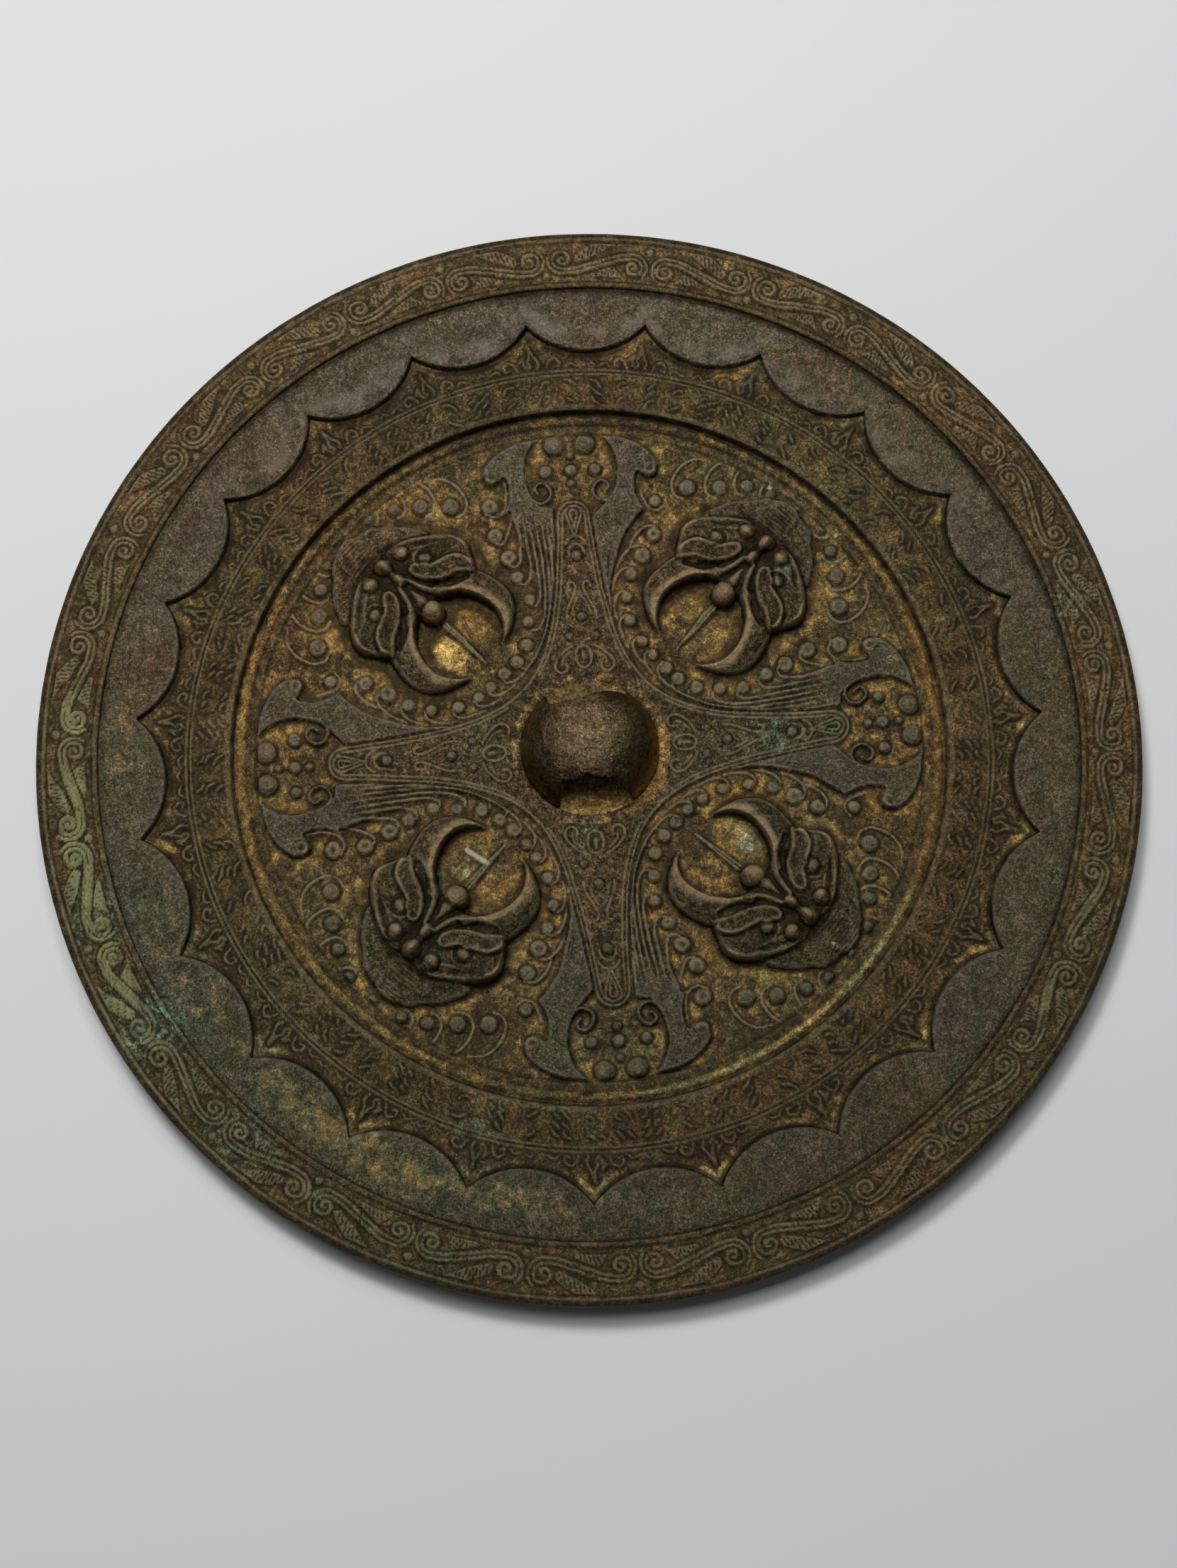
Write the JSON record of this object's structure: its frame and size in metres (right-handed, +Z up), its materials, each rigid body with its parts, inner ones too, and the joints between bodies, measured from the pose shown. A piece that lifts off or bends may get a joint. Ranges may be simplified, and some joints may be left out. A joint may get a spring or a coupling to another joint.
{
  "type": "ancient bronze mirror",
  "caption": "Round cast bronze mirror, decorated back upward: pierced knob, quatrefoil with beast heads, recessed field, linked arcs and a scrolled rim.",
  "frame": {"origin": "middle of the flat spot on the reflecting face, which the mirror lies on", "axes": "+Z up out of the decorated back, +Y along the knob's cord hole, +X along another arm of the quatrefoil"},
  "size_m": [0.16, 0.16, 0.0108],
  "materials": {
    "bronze": "dark patinated bronze with ochre earth and green corrosion"
  },
  "bodies": {
    "root": {"mirror": "bronze"}
  },
  "joints": []
}
